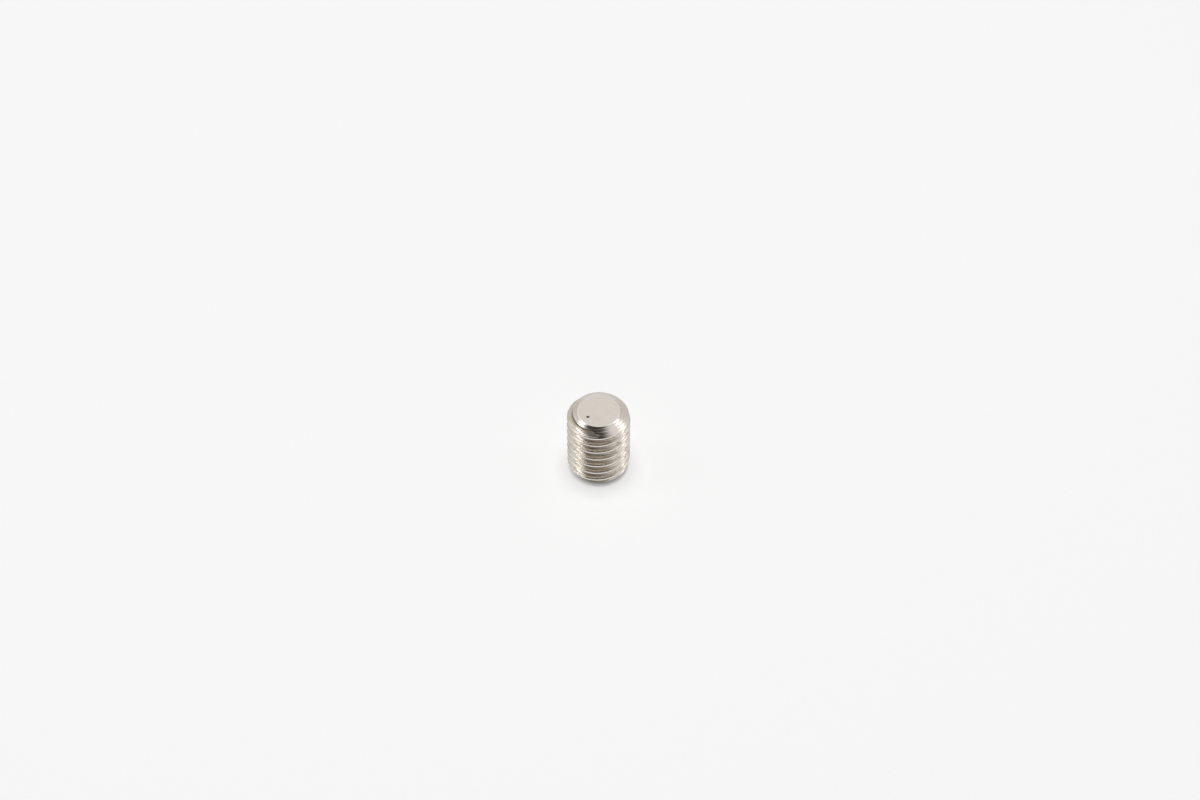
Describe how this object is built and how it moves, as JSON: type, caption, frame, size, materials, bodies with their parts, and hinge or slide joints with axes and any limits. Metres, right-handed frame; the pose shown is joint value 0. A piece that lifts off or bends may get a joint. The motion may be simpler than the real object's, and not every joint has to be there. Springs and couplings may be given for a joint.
{
  "type": "grub set screw",
  "caption": "Headless steel set screw with a coarse metric thread, a flat point and a hexagon socket, for clamping a hub or collar to a shaft.",
  "frame": {"origin": "centre of the socket end's face, on the screw's middle line", "axes": "+Z along the middle line towards the flat point; +X across a pair of the hexagon's flats"},
  "size_m": [0.006, 0.006, 0.0078],
  "materials": {
    "steel": "bright turned stainless steel, faintly warm"
  },
  "bodies": {
    "root": {"set_screw": "steel"}
  },
  "joints": []
}
